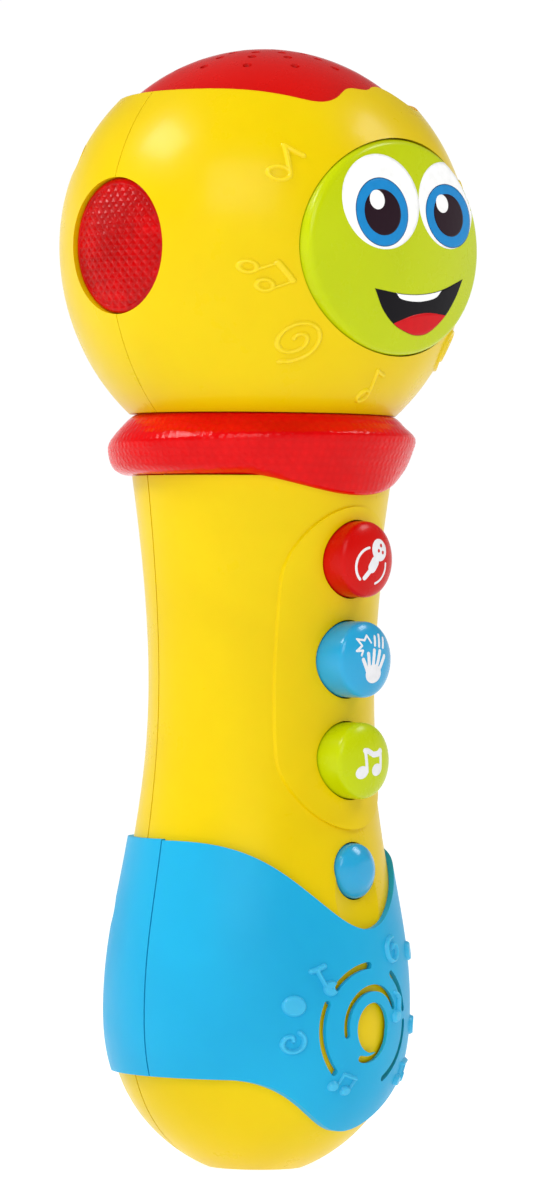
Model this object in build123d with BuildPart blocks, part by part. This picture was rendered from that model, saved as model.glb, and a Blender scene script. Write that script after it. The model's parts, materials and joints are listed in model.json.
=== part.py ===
"""Toy microphone: a battery handle with four press buttons, a light ring, and a round head.

Millimetres, +Z up, the front of the toy towards -Y, the origin at the middle of the base flat.
"""

import os
from math import asin, cos, pi, radians, sin, tan

from build123d import *

# ---------------------------------------------------------------- driving dimensions
WALL = 2.0                    # handle and head wall thickness
GAP = 0.05                    # assembly gap between two pieces that touch
GROOVE = 0.3                  # width and depth of the parting line grooves
HEAD_GROOVE = 0.16            # the same on the head, where the halves meet closer

# handle: outline of the turned body as (radius, height) pairs, base to shoulder
BODY_OUTLINE = [
    (9.0, 0.0), (17.2, 5.0), (23.4, 12.2), (26.9, 21.0), (27.75, 30.5), (26.9, 42.0),
    (24.6, 55.0), (22.4, 68.5), (21.1, 82.0), (21.05, 96.0), (22.0, 110.0), (24.4, 129.5),
]
SHOULDER_Z = 129.5
HANDLE_SEAM_Y = 8.0

# neck that carries the light collar and the head
NECK_R = 18.5
NECK_TOP_Z = 140.7
STUB_R = 15.0
FLANGE_R = 18.0
FLANGE_Z = 143.8
FLANGE_T = 2.0

# head
HEAD_Z = 173.1
HEAD_R = 38.5
HEAD_LOWER = 42.0             # vertical half axis of the lower half
HEAD_BOTTOM_Z = 141.2
HEAD_SEAM_Y = 4.4
LIP = 1.25                    # thickness of the lip behind each insert
INSERT_LIP = 1.2              # how far that lip reaches past the insert's edge
FACE_Z = 171.9                # middle of the face disc
FACE_WIDTH = 47.8
FACE_HEIGHT = 40.0
FACE_FRONT_Y = -36.3          # front of the disc, a shallower dome than the head
FACE_DOME_R = 80.0
FACE_EDGE = 1.6               # rounding of the disc's rim
LENS_Z = 171.6
LENS_R = 12.5
LENS_TURN = 6.5               # degrees that each side lens faces to the rear
LENS_SINK = 0.7
CAP_SINK = 1.6
CAP_RIM = [(0, 25.9), (13, 26.3), (20, 28.1), (27, 29.1), (38, 28.4), (55, 27.2), (80, 26.8),
           (110, 27.0), (134, 27.4), (180, 27.0)]
CAP_HOLE_R = 0.85
CAP_RINGS = [(0.0, 1), (5.4, 6), (9.4, 12), (12.9, 12), (17.2, 12)]

# light collar
COLLAR_R = 29.0
COLLAR_EDGE_R = 25.2
COLLAR_TOP_Z = 141.0
COLLAR_BOTTOM_Z = 129.7
COLLAR_LOBE = 4.0

# blue skirt round the bulb
SKIRT_T = 1.15
SKIRT_SEAM_Y = 2.2
SKIRT_TOP_Z = 61.9
SKIRT_TOP_DIP = 16.3
SKIRT_LOW_Z = 18.0
SKIRT_LOW_DIP = 10.2
TOP_WAVE = 26.5               # half widths of the waves in the two edges
LOW_WAVE = 23.5

# raised oval round the three song buttons
PLATEAU_Z = 94.0
PLATEAU_LENGTH = 60.0
PLATEAU_WIDTH = 28.0
PLATEAU_RISE = 0.65

# buttons: name, height, cap radius, front of the crown, front of the flange, travel
BUTTONS = [
    ("record_button", 114.2, 7.1, -28.5, -17.0, 1.6),
    ("clap_button", 95.6, 7.1, -28.4, -16.4, 1.6),
    ("music_button", 76.8, 7.1, -28.2, -16.9, 1.6),
    ("power_button", 56.3, 5.15, -26.8, -20.8, 1.2),
]
BUTTON_GAP = 0.25
CAP_SKIN = 1.5
FLANGE_WIDE = 1.3
STEM_R = 2.2

# main circuit board, upright behind the buttons
BOARD_Y = -11.0
BOARD_T = 1.6
BOARD_WIDTH = 28.0
BOARD_LOW_Z = 50.5
BOARD_HIGH_Z = 123.0
DOME_HEIGHT = 2.9
BOARD_SCREWS = [(11.2, 105.0), (-11.2, 66.5)]

# speaker behind the grille
SPEAKER_Z = 27.6
SPEAKER_R = 14.5
SPEAKER_FRONT_Y = -20.4
RING_SLOT_R = 11.4
SLOT_W = 1.3

# two AA cells in a tray at the back
CELL_R = 7.25
CELL_LENGTH = 50.5
CELL_X = 7.45
CELL_Y = 8.6
TRAY_LOW_Z = 64.2
TRAY_HIGH_Z = 118.0
TRAY_HALF = 14.9
TRAY_FRONT_Y = 1.1
TRAY_WALL = 1.2
DOOR_LOW_Z = 63.6
DOOR_HIGH_Z = 126.4
DOOR_HALF = 15.2
DOOR_GAP = 0.2
DOOR_SCREW_Z = 122.4

# insulated leads between the boards, the speaker, the cells and the microphone
LEAD_R = 0.55

# screws
SCREW_R = 1.4
SCREW_HEAD_R = 2.6
BOSS_R = 3.2
PILOT_R = 1.45
HANDLE_SCREWS = [(17.2, 47.5), (-17.2, 47.5), (0.0, 9.2)]
HEAD_SCREWS = [(25.0, 188.5), (-25.0, 188.5), (19.5, 152.0), (-19.5, 152.0)]

FRONT = Plane.XZ              # sketches on it extrude towards the front, -Y
FAR = 60.0                    # longer than any cut needs


# ---------------------------------------------------------------- helpers
def finish(part, name):
    """Name a finished piece and write its file."""
    part.label = name
    export_step(part, f"parts/{name}.step")
    print(f"{name}: {len(part.solids())} solids, {part.volume:.0f} mm3")


def body_side(amount):
    """The handle's outline moved out along its normals by amount, as a list of points."""
    outline = Spline(*BODY_OUTLINE, mode=Mode.PRIVATE)
    steps = 14
    points = []
    for step in range(steps + 1):
        here = outline @ (step / steps)
        along = outline % (step / steps)
        points.append((here.X + along.Y * amount, here.Y - along.X * amount))
    return points


def body_form(amount, top=SHOULDER_Z):
    """Solid of revolution with the handle's outline, grown by amount."""
    points = body_side(amount)
    points[-1] = (points[-1][0], top)
    with BuildPart() as form:
        with BuildSketch(FRONT):
            with BuildLine():
                Spline(*points)
                Polyline(points[-1], (0, top), (0, points[0][1]), points[0])
            make_face()
        revolve(axis=Axis.Z)
    return form.part


def head_form(radius):
    """Solid head form: round above its middle, a deeper half below, cut level at the neck."""
    drop = HEAD_LOWER - (HEAD_R - radius)
    foot = -asin((HEAD_Z - HEAD_BOTTOM_Z) / drop)
    steps = 12
    turns = [foot + (pi / 2 - foot) * step / steps for step in range(steps + 1)]
    points = [(radius * cos(turn), HEAD_Z + (radius if turn > 0 else drop) * sin(turn))
              for turn in turns]
    with BuildPart() as form:
        with BuildSketch(FRONT):
            with BuildLine():
                Spline(*points[:-1], (0, HEAD_Z + radius))
                Polyline((0, HEAD_Z + radius), (0, HEAD_BOTTOM_Z), points[0])
            make_face()
        revolve(axis=Axis.Z)
    return form.part


def slab(low_y, high_y):
    """Large block between two depths, used to part front and rear pieces."""
    with BuildPart() as block:
        with Locations((0, 0, 100)):
            Box(4 * FAR, high_y - low_y, 6 * FAR, align=(Align.CENTER, Align.MIN, Align.CENTER))
    return block.part.moved(Location((0, low_y, 0)))


def rod_y(x, z, radius, low_y, high_y):
    """Cylinder along Y between two depths."""
    with BuildPart() as rod:
        with BuildSketch(FRONT.offset(-high_y)):
            with Locations((x, z)):
                Circle(radius)
        extrude(amount=high_y - low_y)
    return rod.part


def tube_y(x, z, outer, inner, low_y, high_y):
    """Round tube along Y between two depths."""
    with BuildPart() as tube:
        with BuildSketch(FRONT.offset(-high_y)):
            with Locations((x, z)):
                Circle(outer)
                Circle(inner, mode=Mode.SUBTRACT)
        extrude(amount=high_y - low_y)
    return tube.part


def block(low, high):
    """Block between two corners."""
    size = [b - a for a, b in zip(low, high)]
    with BuildPart() as made:
        with Locations(Location(tuple(low))):
            Box(*size, align=(Align.MIN, Align.MIN, Align.MIN))
    return made.part


def screw(x, z, head_y, length, shank=SCREW_R, head=SCREW_HEAD_R):
    """Cross-recessed screw along Y with its head at the rear."""
    slot = 0.7
    tip = head_y - length
    with BuildPart() as made:
        with BuildSketch(Plane(origin=(x, 0, z))):
            with BuildLine():
                Polyline((0, head_y + 1.8), (head - 0.9, head_y + 1.8), (head, head_y + 1.0),
                         (head, head_y), (shank, head_y), (shank, tip + 1.2), (0.3, tip),
                         (0, tip), (0, head_y + 1.8))
            make_face()
        revolve(axis=Axis((x, 0, z), (0, 1, 0)))
        with BuildSketch(FRONT.offset(-(head_y + 1.8))):
            with Locations((x, z)):
                Rectangle(2.6, slot)
                Rectangle(slot, 2.6)
        extrude(amount=1.0, mode=Mode.SUBTRACT)
    return made.part


def lead(points):
    """Insulated lead: straight runs joined by tangent arcs as large as the runs allow."""
    spots = [Vector(*point) for point in points]
    runs = [after - before for before, after in zip(spots, spots[1:])]
    radii = []
    for run, following in zip(runs, runs[1:]):
        half_turn = radians(run.get_angle(following)) / 2
        radii.append(0.45 * min(run.length, following.length) / tan(half_turn))
    with BuildPart() as made:
        with BuildLine() as route:
            FilletPolyline(*spots, radius=radii)
        path = route.wire()
        with BuildSketch(Plane(origin=path @ 0, z_dir=path % 0)):
            Circle(LEAD_R)
        sweep(path=path)
    return made.part


def wave(level, dip, half):
    """Points along a skirt edge that dips by a smooth wave at the front."""
    spots = [half * k / 6 for k in range(-6, 7)]
    return [(x, level - dip * (0.5 + 0.5 * cos(pi * x / half))) for x in spots]


def skirt_window(grow, waved):
    """Front view outline of the skirt: two level edges, waved at the front."""
    with BuildSketch(FRONT) as window:
        with BuildLine():
            high = SKIRT_TOP_Z + grow
            low = SKIRT_LOW_Z - grow
            if waved:
                Spline(*wave(high, SKIRT_TOP_DIP, TOP_WAVE), tangents=[(1, 0), (1, 0)])
                Spline(*wave(low, SKIRT_LOW_DIP, LOW_WAVE), tangents=[(1, 0), (1, 0)])
                Polyline((-TOP_WAVE, high), (-FAR, high), (-FAR, low), (-LOW_WAVE, low))
                Polyline((TOP_WAVE, high), (FAR, high), (FAR, low), (LOW_WAVE, low))
            else:
                Polyline((-FAR, high), (FAR, high), (FAR, low), (-FAR, low), (-FAR, high))
        make_face()
    return window.sketch


def cap_rim(grow):
    """Plan outline of the top cap's wavy rim, moved out by grow."""
    half = [(radians(turn), rim + grow) for turn, rim in CAP_RIM]
    mirrored = [(-turn, rim) for turn, rim in half[1:-1]]
    points = [(rim * sin(turn), -rim * cos(turn)) for turn, rim in half + mirrored[::-1]]
    with BuildSketch(Plane.XY.offset(HEAD_Z + 5)) as outline:
        with BuildLine():
            Spline(*points, periodic=True)
        make_face()
    return outline.sketch


def insert(window, lip_window, top_radius, lip_radius, inner_radius):
    """Curved insert held from inside: a window fills its hole and a lip stays behind the wall."""
    body = (head_form(top_radius) - head_form(inner_radius)) & window
    lip = (head_form(lip_radius) - head_form(inner_radius)) & lip_window
    return (body + lip).solid()


os.makedirs("parts", exist_ok=True)

# ---------------------------------------------------------------- shared cutting forms
outer_body = body_form(0)
inner_body = body_form(-WALL, top=SHOULDER_Z - WALL)
front_half = slab(-FAR, HANDLE_SEAM_Y)
rear_half = slab(HANDLE_SEAM_Y, FAR)
seam_ring = (body_form(1.0) - body_form(-GROOVE)) & slab(
    HANDLE_SEAM_Y - GROOVE / 2, HANDLE_SEAM_Y + GROOVE / 2)

with BuildPart() as neck:
    with BuildSketch(FRONT):
        with BuildLine():
            bore = NECK_R - WALL
            throat = STUB_R - WALL
            top = FLANGE_Z + FLANGE_T
            Polyline((bore, SHOULDER_Z - WALL - 0.5), (NECK_R, SHOULDER_Z - WALL - 0.5),
                     (NECK_R, NECK_TOP_Z), (STUB_R, NECK_TOP_Z), (STUB_R, FLANGE_Z),
                     (FLANGE_R, FLANGE_Z), (FLANGE_R, top), (throat, top),
                     (throat, NECK_TOP_Z - WALL), (bore, NECK_TOP_Z - WALL),
                     (bore, SHOULDER_Z - WALL - 0.5))
        make_face()
    revolve(axis=Axis.Z)
    # windows that let the ring lamps shine into the collar
    with BuildSketch(Plane.XY.offset(132.0)):
        with PolarLocations(NECK_R - WALL / 2, 6, start_angle=30):
            Rectangle(2 * WALL, 9.0)
    extrude(amount=6.0, mode=Mode.SUBTRACT)

with BuildPart() as neck_bore:
    with Locations((0, 0, SHOULDER_Z - WALL / 2)):
        Cylinder(NECK_R - WALL, 2 * WALL)

handle_shell = (outer_body - inner_body - neck_bore.part) + neck.part

# ---------------------------------------------------------------- front handle shell
with BuildSketch(FRONT) as oval:
    with Locations((0, PLATEAU_Z)):
        SlotOverall(PLATEAU_LENGTH, PLATEAU_WIDTH, rotation=90)
plateau = (body_form(PLATEAU_RISE) - body_form(-WALL / 2)) & extrude(oval.sketch, amount=FAR)

with BuildPart() as handle_front_shell:
    add(handle_shell & front_half)
    reach = body_form(-0.35 * WALL) & front_half
    # bosses for the handle screws
    for x, z in HANDLE_SCREWS:
        add(tube_y(x, z, BOSS_R, PILOT_R, -FAR, HANDLE_SEAM_Y) & reach)
    # bosses for the circuit board
    for x, z in BOARD_SCREWS:
        add(tube_y(x, z, 2.4, 0.95, -FAR, BOARD_Y - GAP) & reach)
    # wall round the speaker, and the bosses of its clamp
    add(tube_y(0, SPEAKER_Z, SPEAKER_R + 1.5, SPEAKER_R + 0.2, -FAR, -18.4) & reach)
    for side in (-1, 1):
        add(tube_y(side * 18.6, SPEAKER_Z, 2.3, 0.95, -FAR, -14.0 - GAP) & reach)
    # raised oval round the song buttons
    add(plateau)
    # shallow dish round the power button
    dish_r = 28.0
    with Locations((0, -(23.5 + dish_r), BUTTONS[3][1])):
        Sphere(dish_r, mode=Mode.SUBTRACT)
    # button holes
    for name, height, cap_r, crown, flange, travel in BUTTONS:
        add(rod_y(0, height, cap_r + BUTTON_GAP, -FAR, -10), mode=Mode.SUBTRACT)
    # sound holes, hidden behind the grille's lands
    with BuildSketch(FRONT.offset(18)):
        with Locations((0, SPEAKER_Z)):
            with PolarLocations(9.6, 10):
                Circle(0.75)
    extrude(amount=FAR, mode=Mode.SUBTRACT)
    add(seam_ring, mode=Mode.SUBTRACT)
finish(handle_front_shell.part, "handle_front_shell")

# ---------------------------------------------------------------- rear handle shell
door_middle = (DOOR_LOW_Z + DOOR_HIGH_Z) / 2
door_height = DOOR_HIGH_Z - DOOR_LOW_Z
with BuildSketch(FRONT.offset(-HANDLE_SEAM_Y - 1)) as door_window:
    with Locations((0, door_middle)):
        RectangleRounded(2 * (DOOR_HALF + DOOR_GAP), door_height + 2 * DOOR_GAP, 4.0)
door_opening = extrude(door_window.sketch, amount=-FAR) - body_form(-WALL - 2 * GAP)

with BuildPart() as handle_rear_shell:
    add(handle_shell & rear_half)
    # battery tray: five walls, open to the rear
    tray = block((-TRAY_HALF - TRAY_WALL, TRAY_FRONT_Y - TRAY_WALL, TRAY_LOW_Z - TRAY_WALL),
                 (TRAY_HALF + TRAY_WALL, FAR, TRAY_HIGH_Z + TRAY_WALL))
    hollow = block((-TRAY_HALF, TRAY_FRONT_Y, TRAY_LOW_Z), (TRAY_HALF, FAR, TRAY_HIGH_Z))
    add((tray - hollow) & body_form(-WALL / 2))
    add(door_opening, mode=Mode.SUBTRACT)
    # boss of the door screw, tied to the top of the tray
    add(tube_y(0, DOOR_SCREW_Z, 3.1, PILOT_R, 6.0, 16.0))
    add(block((-2.0, 6.0, TRAY_HIGH_Z + 0.5), (2.0, 15.0, DOOR_SCREW_Z - 2.6)))
    # sleeves for the handle screws
    depth = body_form(-0.35 * WALL) & rear_half
    for x, z in HANDLE_SCREWS:
        add(tube_y(x, z, 4.3, PILOT_R, HANDLE_SEAM_Y, FAR) & depth)
        add(rod_y(x, z, 3.0, HANDLE_SEAM_Y + 2.0, FAR), mode=Mode.SUBTRACT)
    add(seam_ring, mode=Mode.SUBTRACT)
finish(handle_rear_shell.part, "handle_rear_shell")

# ---------------------------------------------------------------- battery door and its screw
with BuildPart() as battery_door:
    with BuildSketch(FRONT.offset(-HANDLE_SEAM_Y - 1)):
        with Locations((0, door_middle)):
            RectangleRounded(2 * DOOR_HALF, door_height, 3.8)
    extrude(amount=-FAR)
    add(outer_body - body_form(-WALL), mode=Mode.INTERSECT)
    # finger grip ribs near the lower end
    with BuildSketch(FRONT.offset(-HANDLE_SEAM_Y - 5)) as ribs:
        with Locations([(0, 72.0 + 2.6 * k) for k in range(5)]):
            SlotOverall(14.0, 1.2)
    add((body_form(0.5) - body_form(-WALL / 2)) & extrude(
        ribs.sketch, amount=-FAR, mode=Mode.PRIVATE))
    # thicker seat for the screw
    add(rod_y(0, DOOR_SCREW_Z, 3.1, 16.0 + GAP, 21.6))
    add(rod_y(0, DOOR_SCREW_Z, SCREW_HEAD_R + 0.3, 18.2, FAR), mode=Mode.SUBTRACT)
    add(rod_y(0, DOOR_SCREW_Z, PILOT_R, 10.0, FAR), mode=Mode.SUBTRACT)
finish(battery_door.part, "battery_door")

with BuildPart() as door_screw:
    add(screw(0, DOOR_SCREW_Z, 18.2 + GAP, 9.0))
finish(door_screw.part, "door_screw")

# ---------------------------------------------------------------- blue skirt
skirt_wall = body_form(SKIRT_T) - body_form(GAP)
gap = GROOVE / 2

with BuildPart() as skirt_front:
    add(skirt_wall & slab(-FAR, SKIRT_SEAM_Y - gap))
    add(extrude(skirt_window(0, True), amount=FAR, both=True, mode=Mode.PRIVATE),
        mode=Mode.INTERSECT)
    # ring of four slots
    with BuildSketch(FRONT.offset(10)):
        with Locations((0, SPEAKER_Z)):
            for first, sweep_angle in ((93, 46), (157, 69), (300, 62), (15, 42)):
                with BuildLine(mode=Mode.PRIVATE) as arc:
                    CenterArc((0, 0), RING_SLOT_R, first, sweep_angle)
                SlotArc(arc.wire(), SLOT_W)
    extrude(amount=FAR, mode=Mode.SUBTRACT)
    # spiral slot, and the opening in its middle with its tail
    with BuildSketch(FRONT.offset(10)):
        with Locations((0, SPEAKER_Z)):
            for centre, radius, first, turn, width in (((0.5, 0.3), 6.9, 28, 166, SLOT_W),
                                                       ((-0.9, -1.2), 4.9, 5, -112, 1.3)):
                with BuildLine(mode=Mode.PRIVATE) as arc:
                    CenterArc(centre, radius, first, turn)
                SlotArc(arc.wire(), width)
            with Locations((0.4, -0.2)):
                Ellipse(4.3, 4.7)
    extrude(amount=FAR, mode=Mode.SUBTRACT)
    # shallow chamber behind the grille that joins the slots to the sound holes
    add((body_form(0.45) - body_form(-GAP)) & rod_y(0, SPEAKER_Z, 10.8, -FAR, 0),
        mode=Mode.SUBTRACT)
finish(skirt_front.part, "skirt_front")

with BuildPart() as skirt_rear:
    add(skirt_wall & slab(SKIRT_SEAM_Y + gap, FAR))
    add(extrude(skirt_window(0, False), amount=FAR, both=True, mode=Mode.PRIVATE),
        mode=Mode.INTERSECT)
    for x, z in HANDLE_SCREWS[:2]:
        add(rod_y(x, z, 3.0, SKIRT_SEAM_Y + 1, FAR), mode=Mode.SUBTRACT)
finish(skirt_rear.part, "skirt_rear")

# ---------------------------------------------------------------- buttons and their domes
for name, height, cap_r, crown, flange, travel in BUTTONS:
    flange_back = flange + 1.3
    stem_end = BOARD_Y - DOME_HEIGHT
    with BuildPart() as button:
        with BuildSketch(Plane.XY.offset(height)):
            with BuildLine():
                face = Spline((0, crown), (0.55 * cap_r, crown + 0.4), (cap_r - 0.6, crown + 1.6),
                              (cap_r, crown + 3.0), tangents=[(1, 0), (0, 1)])
                Polyline(face @ 1, (cap_r, flange), (cap_r + FLANGE_WIDE, flange),
                         (cap_r + FLANGE_WIDE, flange_back), (cap_r - CAP_SKIN, flange_back),
                         (cap_r - CAP_SKIN, crown + 4.2), (STEM_R, crown + 4.2),
                         (STEM_R, stem_end), (0, stem_end), (0, crown))
            make_face()
        revolve(axis=Axis((0, 0, height), (0, 1, 0)))
    finish(button.part, name)

    # silicone dome: a foot ring on the board, a thin cone, and a pad under the stem
    with BuildPart() as dome:
        with BuildSketch(Plane.XY.offset(height)):
            with BuildLine():
                top = stem_end + GAP
                Polyline((0, top), (2.6, top), (2.9, top + 0.5), (3.9, BOARD_Y - 0.8),
                         (5.0, BOARD_Y - 0.8), (5.0, BOARD_Y - GAP), (3.3, BOARD_Y - GAP),
                         (2.5, top + 1.0), (1.6, top + 1.0), (1.6, top + 1.4), (0, top + 1.4),
                         (0, top))
            make_face()
        revolve(axis=Axis((0, 0, height), (0, 1, 0)))
    finish(dome.part, name.replace("button", "dome"))

# ---------------------------------------------------------------- circuit board
board_middle = (BOARD_LOW_Z + BOARD_HIGH_Z) / 2
with BuildPart() as circuit_board:
    with BuildSketch(FRONT.offset(-BOARD_Y)):
        with Locations((0, board_middle)):
            RectangleRounded(BOARD_WIDTH, BOARD_HIGH_Z - BOARD_LOW_Z, 2.0)
        with Locations(BOARD_SCREWS):
            Circle(PILOT_R, mode=Mode.SUBTRACT)
    extrude(amount=-BOARD_T)
finish(circuit_board.part, "circuit_board")

with BuildPart() as board_components:
    back = BOARD_Y + BOARD_T
    # sealed sound chip under its blob
    with BuildSketch(FRONT.offset(-back - GAP)):
        with Locations((0, 96.0)):
            Circle(6.0)
    extrude(amount=-2.0, taper=35)
    # electrolytic capacitor, crystal can, power regulator and three lead sockets
    with BuildSketch(FRONT.offset(-back - GAP)):
        with Locations((-8.5, 84.0)):
            Circle(2.5)
    extrude(amount=-6.0)
    for x, z, wide, high, deep in ((7.5, 84.0, 8.0, 3.4, 3.2), (8.0, 74.0, 4.6, 6.0, 1.6),
                                   (0.0, 54.0, 6.4, 4.6, 4.0), (0.0, 118.0, 9.0, 4.6, 4.0),
                                   (-9.0, 74.0, 5.0, 4.6, 4.0)):
        with BuildSketch(FRONT.offset(-back - GAP)):
            with Locations((x, z)):
                RectangleRounded(wide, high, 0.4)
        extrude(amount=-deep)
finish(board_components.part, "board_components")

with BuildPart() as board_screws:
    for x, z in BOARD_SCREWS:
        add(screw(x, z, BOARD_Y + BOARD_T + GAP, 5.0, shank=0.9, head=1.9))
finish(board_screws.part, "board_screws")

# ---------------------------------------------------------------- speaker
front_y = SPEAKER_FRONT_Y
speaker_axis = Axis((0, 0, SPEAKER_Z), (0, 1, 0))
with BuildPart() as speaker_frame:
    with BuildSketch(Plane.XY.offset(SPEAKER_Z)):
        with BuildLine():
            Polyline((SPEAKER_R, front_y), (SPEAKER_R, front_y + 1.1), (12.6, front_y + 1.1),
                     (9.0, front_y + 6.0), (4.2, front_y + 6.0), (4.2, front_y + 5.2),
                     (8.4, front_y + 5.2), (11.8, front_y + 0.6), (11.8, front_y),
                     (SPEAKER_R, front_y))
        make_face()
    revolve(axis=speaker_axis)
finish(speaker_frame.part, "speaker_frame")

with BuildPart() as speaker_cone:
    with BuildSketch(Plane.XY.offset(SPEAKER_Z)):
        with BuildLine():
            Polyline((11.7, front_y + 0.1), (11.7, front_y + 0.5), (10.6, front_y + 0.5),
                     (4.2, front_y + 3.9), (3.6, front_y + 4.8), (3.4, front_y + 4.8),
                     (3.4, front_y + 3.5), (2.0, front_y + 2.5), (0, front_y + 2.2),
                     (0, front_y + 1.9), (2.2, front_y + 2.2), (3.8, front_y + 3.1),
                     (10.4, front_y + 0.1), (11.7, front_y + 0.1))
        make_face()
    revolve(axis=speaker_axis)
finish(speaker_cone.part, "speaker_cone")

with BuildPart() as speaker_magnet:
    with BuildSketch(Plane.XY.offset(SPEAKER_Z)):
        with BuildLine():
            Polyline((0, front_y + 6.1), (7.5, front_y + 6.1), (7.5, front_y + 9.6),
                     (6.9, front_y + 10.4), (0, front_y + 10.4), (0, front_y + 6.1))
        make_face()
    revolve(axis=speaker_axis)
finish(speaker_magnet.part, "speaker_magnet")

with BuildPart() as speaker_clamp:
    add(tube_y(0, SPEAKER_Z, SPEAKER_R, 13.0, front_y + 1.1 + GAP, -14.0))
    with BuildSketch(FRONT.offset(14.0)):
        with Locations((0, SPEAKER_Z)):
            Circle(SPEAKER_R)
            SlotOverall(2 * 21.4, 5.6)
            Circle(9.6, mode=Mode.SUBTRACT)
            with Locations((-18.6, 0), (18.6, 0)):
                Circle(1.1, mode=Mode.SUBTRACT)
    extrude(amount=-1.4)
finish(speaker_clamp.part, "speaker_clamp")

with BuildPart() as speaker_screws:
    for side in (-1, 1):
        add(screw(side * 18.6, SPEAKER_Z, -12.6 + GAP, 5.0, shank=0.9, head=1.9))
finish(speaker_screws.part, "speaker_screws")

# ---------------------------------------------------------------- batteries and contacts
with BuildPart() as battery_cells:
    for side, low in ((-1, 67.0), (1, 64.7)):
        nub = 1.2
        for z, radius, height in ((low + (0 if side < 0 else nub), CELL_R, CELL_LENGTH - nub),
                                  (low + (CELL_LENGTH - nub if side < 0 else 0), 2.7, nub)):
            with BuildSketch(Plane.XY.offset(z)):
                with Locations((side * CELL_X, CELL_Y)):
                    Circle(radius)
            extrude(amount=height)
finish(battery_cells.part, "battery_cells")

with BuildPart() as battery_plates:
    for low in (TRAY_LOW_Z + GAP, TRAY_HIGH_Z - GAP - 0.4):
        for side in (-1, 1):
            with BuildSketch(Plane.XY.offset(low)):
                with Locations((side * CELL_X, CELL_Y)):
                    RectangleRounded(13.0, 12.0, 1.0)
            extrude(amount=0.4)
finish(battery_plates.part, "battery_plates")

with BuildPart() as battery_springs:
    for side, low in ((-1, TRAY_LOW_Z + 0.5), (1, TRAY_HIGH_Z - 0.5 - 1.8)):
        with BuildSketch(Plane.XY.offset(low)):
            with Locations((side * CELL_X, CELL_Y)):
                Circle(3.9)
                Circle(2.9, mode=Mode.SUBTRACT)
        extrude(amount=1.8)
finish(battery_springs.part, "battery_springs")

# ---------------------------------------------------------------- handle screws
with BuildPart() as handle_screws:
    for x, z in HANDLE_SCREWS:
        add(screw(x, z, HANDLE_SEAM_Y + 2.0 + GAP, 13.0))
finish(handle_screws.part, "handle_screws")

# ---------------------------------------------------------------- light collar and its lamps
with BuildPart() as light_collar:
    with BuildSketch(FRONT):
        with BuildLine():
            middle = (COLLAR_BOTTOM_Z + COLLAR_TOP_Z) / 2
            inner = NECK_R + GAP
            skin = Spline((COLLAR_EDGE_R, COLLAR_BOTTOM_Z), (27.9, COLLAR_BOTTOM_Z + 1.9),
                          (COLLAR_R, middle), (27.9, COLLAR_TOP_Z - 1.9),
                          (COLLAR_EDGE_R, COLLAR_TOP_Z))
            Polyline(skin @ 1, (inner, COLLAR_TOP_Z), (inner, COLLAR_BOTTOM_Z), skin @ 0)
        make_face()
    revolve(axis=Axis.Z)
    # the lobe that hangs lower over the song buttons
    with BuildSketch(FRONT) as lobe:
        with BuildLine():
            low = COLLAR_BOTTOM_Z - COLLAR_LOBE
            edge = Spline((-19.0, COLLAR_BOTTOM_Z + 0.4), (-9.0, low + 1.0), (0, low),
                          (9.0, low + 1.0), (19.0, COLLAR_BOTTOM_Z + 0.4))
            Polyline(edge @ 1, (19.0, middle), (-19.0, middle), edge @ 0)
        make_face()
    with BuildPart(mode=Mode.PRIVATE) as lobe_ring:
        with BuildSketch(FRONT):
            with BuildLine():
                outside = Spline((COLLAR_EDGE_R - 0.6, low - 0.2), (26.2, low + 2.2),
                                 (28.0, COLLAR_BOTTOM_Z + 1.6), (COLLAR_R - 0.2, middle))
                Polyline(outside @ 1, (22.0, middle), (22.0, low - 0.2), outside @ 0)
            make_face()
        revolve(axis=Axis.Z)
    add((lobe_ring.part & extrude(lobe.sketch, amount=FAR, mode=Mode.PRIVATE)) - body_form(GAP))
finish(light_collar.part, "light_collar")

with BuildPart() as ring_lamp_board:
    with BuildSketch(Plane.XY.offset(133.6)):
        Circle(NECK_R - WALL - 0.1)
        Circle(5.0, mode=Mode.SUBTRACT)
    extrude(amount=1.2)
finish(ring_lamp_board.part, "ring_lamp_board")

with BuildPart() as ring_lamps:
    with BuildSketch(Plane.XY.offset(134.8 + GAP)):
        with PolarLocations(13.6, 6, start_angle=30):
            Rectangle(3.4, 3.0)
    extrude(amount=1.8)
finish(ring_lamps.part, "ring_lamps")

# ---------------------------------------------------------------- head
wall_radius = HEAD_R - WALL
lip_r = wall_radius - GAP

with BuildPart() as head_shell:
    add(head_form(HEAD_R))
    add(head_form(wall_radius) - block((-FAR, -FAR, 0), (FAR, FAR, HEAD_BOTTOM_Z + 2.2)),
        mode=Mode.SUBTRACT)
    with Locations((0, 0, HEAD_BOTTOM_Z)):
        Cylinder(STUB_R + 0.1, 10.0, mode=Mode.SUBTRACT)


def face_prism(grow):
    """Elliptical prism through the face, moved out by grow."""
    with BuildPart() as prism:
        with BuildSketch(FRONT):
            with Locations((0, FACE_Z)):
                Ellipse(FACE_WIDTH / 2 + grow, FACE_HEIGHT / 2 + grow)
        extrude(amount=FAR)
    return prism.part


def face_dome(inset):
    """Ball whose front is the face disc's dome, moved in by inset."""
    with BuildPart() as dome:
        with Locations((0, FACE_FRONT_Y + FACE_DOME_R, FACE_Z)):
            Sphere(FACE_DOME_R - inset)
    return dome.part


def lens_rod(side, radius):
    """Solid rod from the head's middle out through one side lens."""
    turn = radians(LENS_TURN)
    facing = Plane(origin=(0, 0, LENS_Z), z_dir=(side * cos(turn), sin(turn), 0))
    with BuildPart() as rod:
        with BuildSketch(facing):
            Circle(radius)
        extrude(amount=FAR)
    return rod.part


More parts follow.
